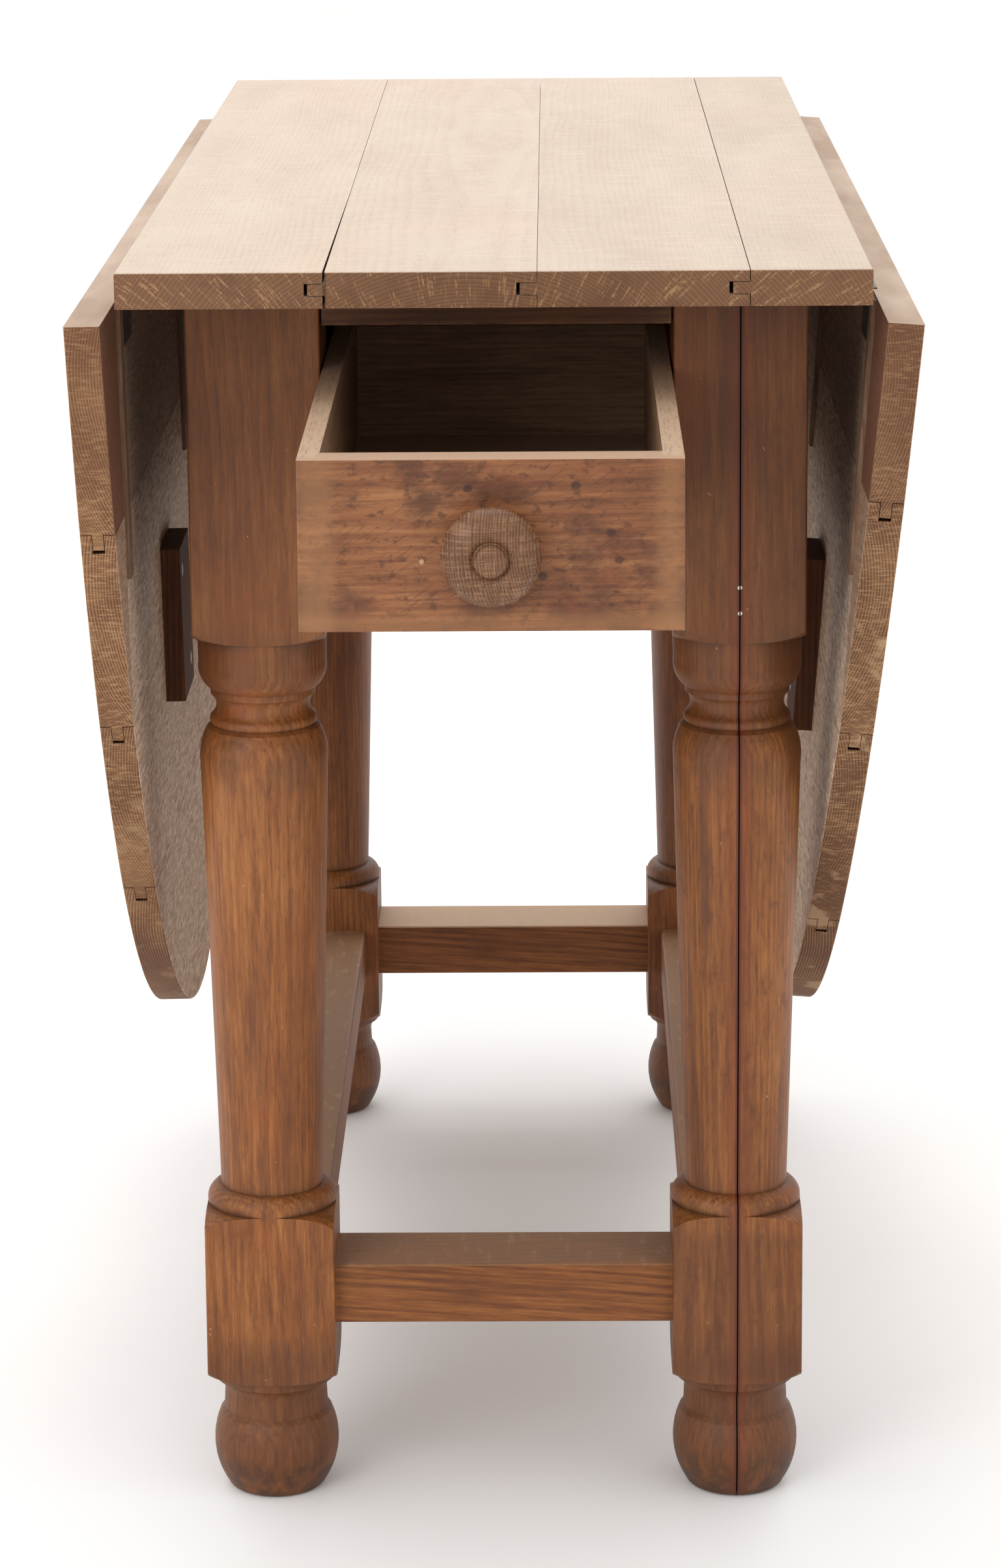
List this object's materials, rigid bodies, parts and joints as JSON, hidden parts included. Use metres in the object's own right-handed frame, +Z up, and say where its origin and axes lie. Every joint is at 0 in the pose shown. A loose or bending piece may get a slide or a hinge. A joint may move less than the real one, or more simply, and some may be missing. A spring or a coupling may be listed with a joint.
{
  "type": "drop leaf table",
  "caption": "Free-standing table with two hinged oval drop leaves, swinging leaf supports, a drawer in one end and turned legs joined by low stretchers.",
  "frame": {"origin": "on the floor under the middle of the object's outline as it stands with the drawer drawn out, 100 mm in front of the middle of the four legs", "axes": "+Z up, +X towards the right-hand leaf, +Y along the table away from the drawer"},
  "size_m": [0.4678, 1.21, 0.76],
  "materials": {
    "top_oak": "pale sanded oak, unsealed, end grain darker",
    "leaf_oak": "weathered oak, grey-brown rough-sawn inside, golden at the rim",
    "batten_oak": "rough brown oak",
    "dark_block": "dark red-brown hardwood",
    "turned_wood": "warm orange-brown, waxed, open pores",
    "carcase_wood": "brown, plain",
    "drawer_front_wood": "mottled red-brown, satin",
    "drawer_box_wood": "dry grey-brown, planed",
    "knob_wood": "turned oak, worn",
    "hinge_iron": "dark iron, lightly rusted",
    "fixing_steel": "dulled steel"
  },
  "bodies": {
    "frame": {"apron_left": "carcase_wood", "apron_rear": "carcase_wood", "apron_right": "carcase_wood", "drawer_bearer_rail": "carcase_wood", "drawer_kicker_left": "carcase_wood", "drawer_kicker_right": "carcase_wood", "drawer_runner_left": "carcase_wood", "drawer_runner_right": "carcase_wood", "drawer_top_rail": "carcase_wood", "fly_pins": "hinge_iron", "fly_rail_left": "carcase_wood", "fly_rail_right": "carcase_wood", "frame_screws": "fixing_steel", "glue_blocks": "carcase_wood", "hinge_pins": "hinge_iron", "hinge_plates_left": "hinge_iron", "hinge_plates_right": "hinge_iron", "hinge_screws": "fixing_steel", "leg_front_left": "turned_wood", "leg_front_right_inner": "turned_wood", "leg_front_right_outer": "turned_wood", "leg_rear_left": "turned_wood", "leg_rear_right": "turned_wood", "stretcher_front": "turned_wood", "stretcher_left": "turned_wood", "stretcher_rear": "turned_wood", "stretcher_right": "turned_wood", "top_board_1": "top_oak", "top_board_2": "top_oak", "top_board_3": "top_oak", "top_board_4": "top_oak"},
    "leaf_left": {"leaf_left_batten_front": "batten_oak", "leaf_left_batten_middle": "batten_oak", "leaf_left_batten_rear": "batten_oak", "leaf_left_board_1": "leaf_oak", "leaf_left_board_2": "leaf_oak", "leaf_left_board_3": "leaf_oak", "leaf_left_board_4": "leaf_oak", "leaf_left_hinge_plates": "hinge_iron", "leaf_left_pad": "dark_block", "leaf_left_screws": "fixing_steel"},
    "leaf_right": {"leaf_right_batten_front": "batten_oak", "leaf_right_batten_middle": "batten_oak", "leaf_right_batten_rear": "batten_oak", "leaf_right_board_1": "leaf_oak", "leaf_right_board_2": "leaf_oak", "leaf_right_board_3": "leaf_oak", "leaf_right_board_4": "leaf_oak", "leaf_right_hinge_plates": "hinge_iron", "leaf_right_pad": "dark_block", "leaf_right_screws": "fixing_steel"},
    "support_arm_left": {"fly_arm_left": "carcase_wood"},
    "support_arm_right": {"fly_arm_right": "carcase_wood"},
    "drawer": {"drawer_back": "drawer_box_wood", "drawer_floor": "drawer_box_wood", "drawer_front": "drawer_front_wood", "drawer_knob": "knob_wood", "drawer_nails": "fixing_steel", "drawer_side_left": "drawer_box_wood", "drawer_side_right": "drawer_box_wood"}
  },
  "joints": [
    {"name": "drawer_slide", "type": "slide", "parent": "frame", "child": "drawer", "axis": [0, -1, 0], "range_m": [-0.279, 0.136]},
    {"name": "leaf_left_fold", "type": "hinge", "parent": "frame", "child": "leaf_left", "pos_m": [-0.206, 0.1, 0.732], "axis": [0, 1, 0], "range_deg": [0, 91.1]},
    {"name": "leaf_right_fold", "type": "hinge", "parent": "frame", "child": "leaf_right", "pos_m": [0.206, 0.1, 0.732], "axis": [0, -1, 0], "range_deg": [0, 94.3]},
    {"name": "support_arm_left_swing", "type": "hinge", "parent": "frame", "child": "support_arm_left", "pos_m": [-0.16525, -0.066, 0.7], "axis": [0, 0, 1], "range_deg": [0, 5.5]},
    {"name": "support_arm_right_swing", "type": "hinge", "parent": "frame", "child": "support_arm_right", "pos_m": [0.16525, -0.066, 0.7], "axis": [0, 0, -1], "range_deg": [0, 5.5]}
  ]
}
